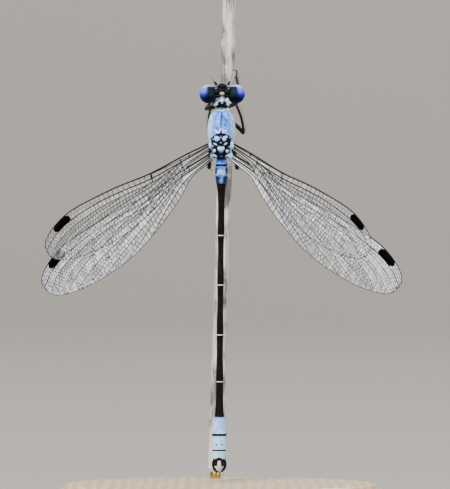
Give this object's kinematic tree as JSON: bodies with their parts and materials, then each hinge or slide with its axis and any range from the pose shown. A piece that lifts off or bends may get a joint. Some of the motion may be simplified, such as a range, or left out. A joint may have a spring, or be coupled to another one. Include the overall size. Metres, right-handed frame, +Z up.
{
  "type": "damselfly on a stem",
  "caption": "Life-size still model of a male spreadwing damselfly gripping a cut length of dry stem, wings half open, held upright on a round display stand.",
  "frame": {"origin": "centre of the underside of the stand's round base, on the floor", "axes": "+Z up, along the stem and the insect's body towards its head; -Y the way the insect's back and the wings' upper faces look; +X the viewer's right when facing its back"},
  "size_m": [0.0397, 0.0382, 0.0589],
  "materials": {
    "pruina": "waxy pale blue bloom over dark cuticle, matt",
    "bronze": "dark bronze brown cuticle, satin gloss",
    "black": "black cuticle, satin gloss",
    "eye": "violet blue over navy, glossy with fine facets",
    "face": "black cuticle, satin gloss",
    "mouth": "pale blue cuticle, satin",
    "leg": "dark brown to black cuticle, satin gloss",
    "wing": "clear wing membrane with dark veins, glossy",
    "stem": "dry weathered stalk, matt",
    "wood": "pale turned wood, satin varnish",
    "brass": "brushed brass"
  },
  "bodies": {
    "root": {"head": "face", "eye_left": "eye", "antenna_left": "black", "eye_right": "eye", "antenna_right": "black", "labrum": "mouth", "labium": "mouth", "prothorax": "pruina", "synthorax": "pruina", "abdomen_segment_01": "pruina", "abdomen_segment_02": "pruina", "abdomen_segment_03": "bronze", "abdomen_segment_04": "bronze", "abdomen_segment_05": "bronze", "abdomen_segment_06": "bronze", "abdomen_segment_07": "bronze", "abdomen_segment_08": "pruina", "abdomen_segment_09": "pruina", "abdomen_segment_10": "pruina", "cercus_left": "black", "paraproct_left": "black", "cercus_right": "black", "paraproct_right": "black", "coxa_fore_left": "leg", "femur_fore_left": "leg", "tibia_fore_left": "leg", "tarsus_fore_left": "leg", "coxa_fore_right": "leg", "femur_fore_right": "leg", "tibia_fore_right": "leg", "tarsus_fore_right": "leg", "coxa_mid_left": "leg", "femur_mid_left": "leg", "tibia_mid_left": "leg", "tarsus_mid_left": "leg", "coxa_mid_right": "leg", "femur_mid_right": "leg", "tibia_mid_right": "leg", "tarsus_mid_right": "leg", "coxa_hind_left": "leg", "femur_hind_left": "leg", "tibia_hind_left": "leg", "tarsus_hind_left": "leg", "coxa_hind_right": "leg", "femur_hind_right": "leg", "tibia_hind_right": "leg", "tarsus_hind_right": "leg", "forewing_left": "wing", "forewing_right": "wing", "hindwing_left": "wing", "hindwing_right": "wing", "stem_perch": "stem", "stand_base": "wood", "stand_rod": "brass"}
  },
  "joints": []
}
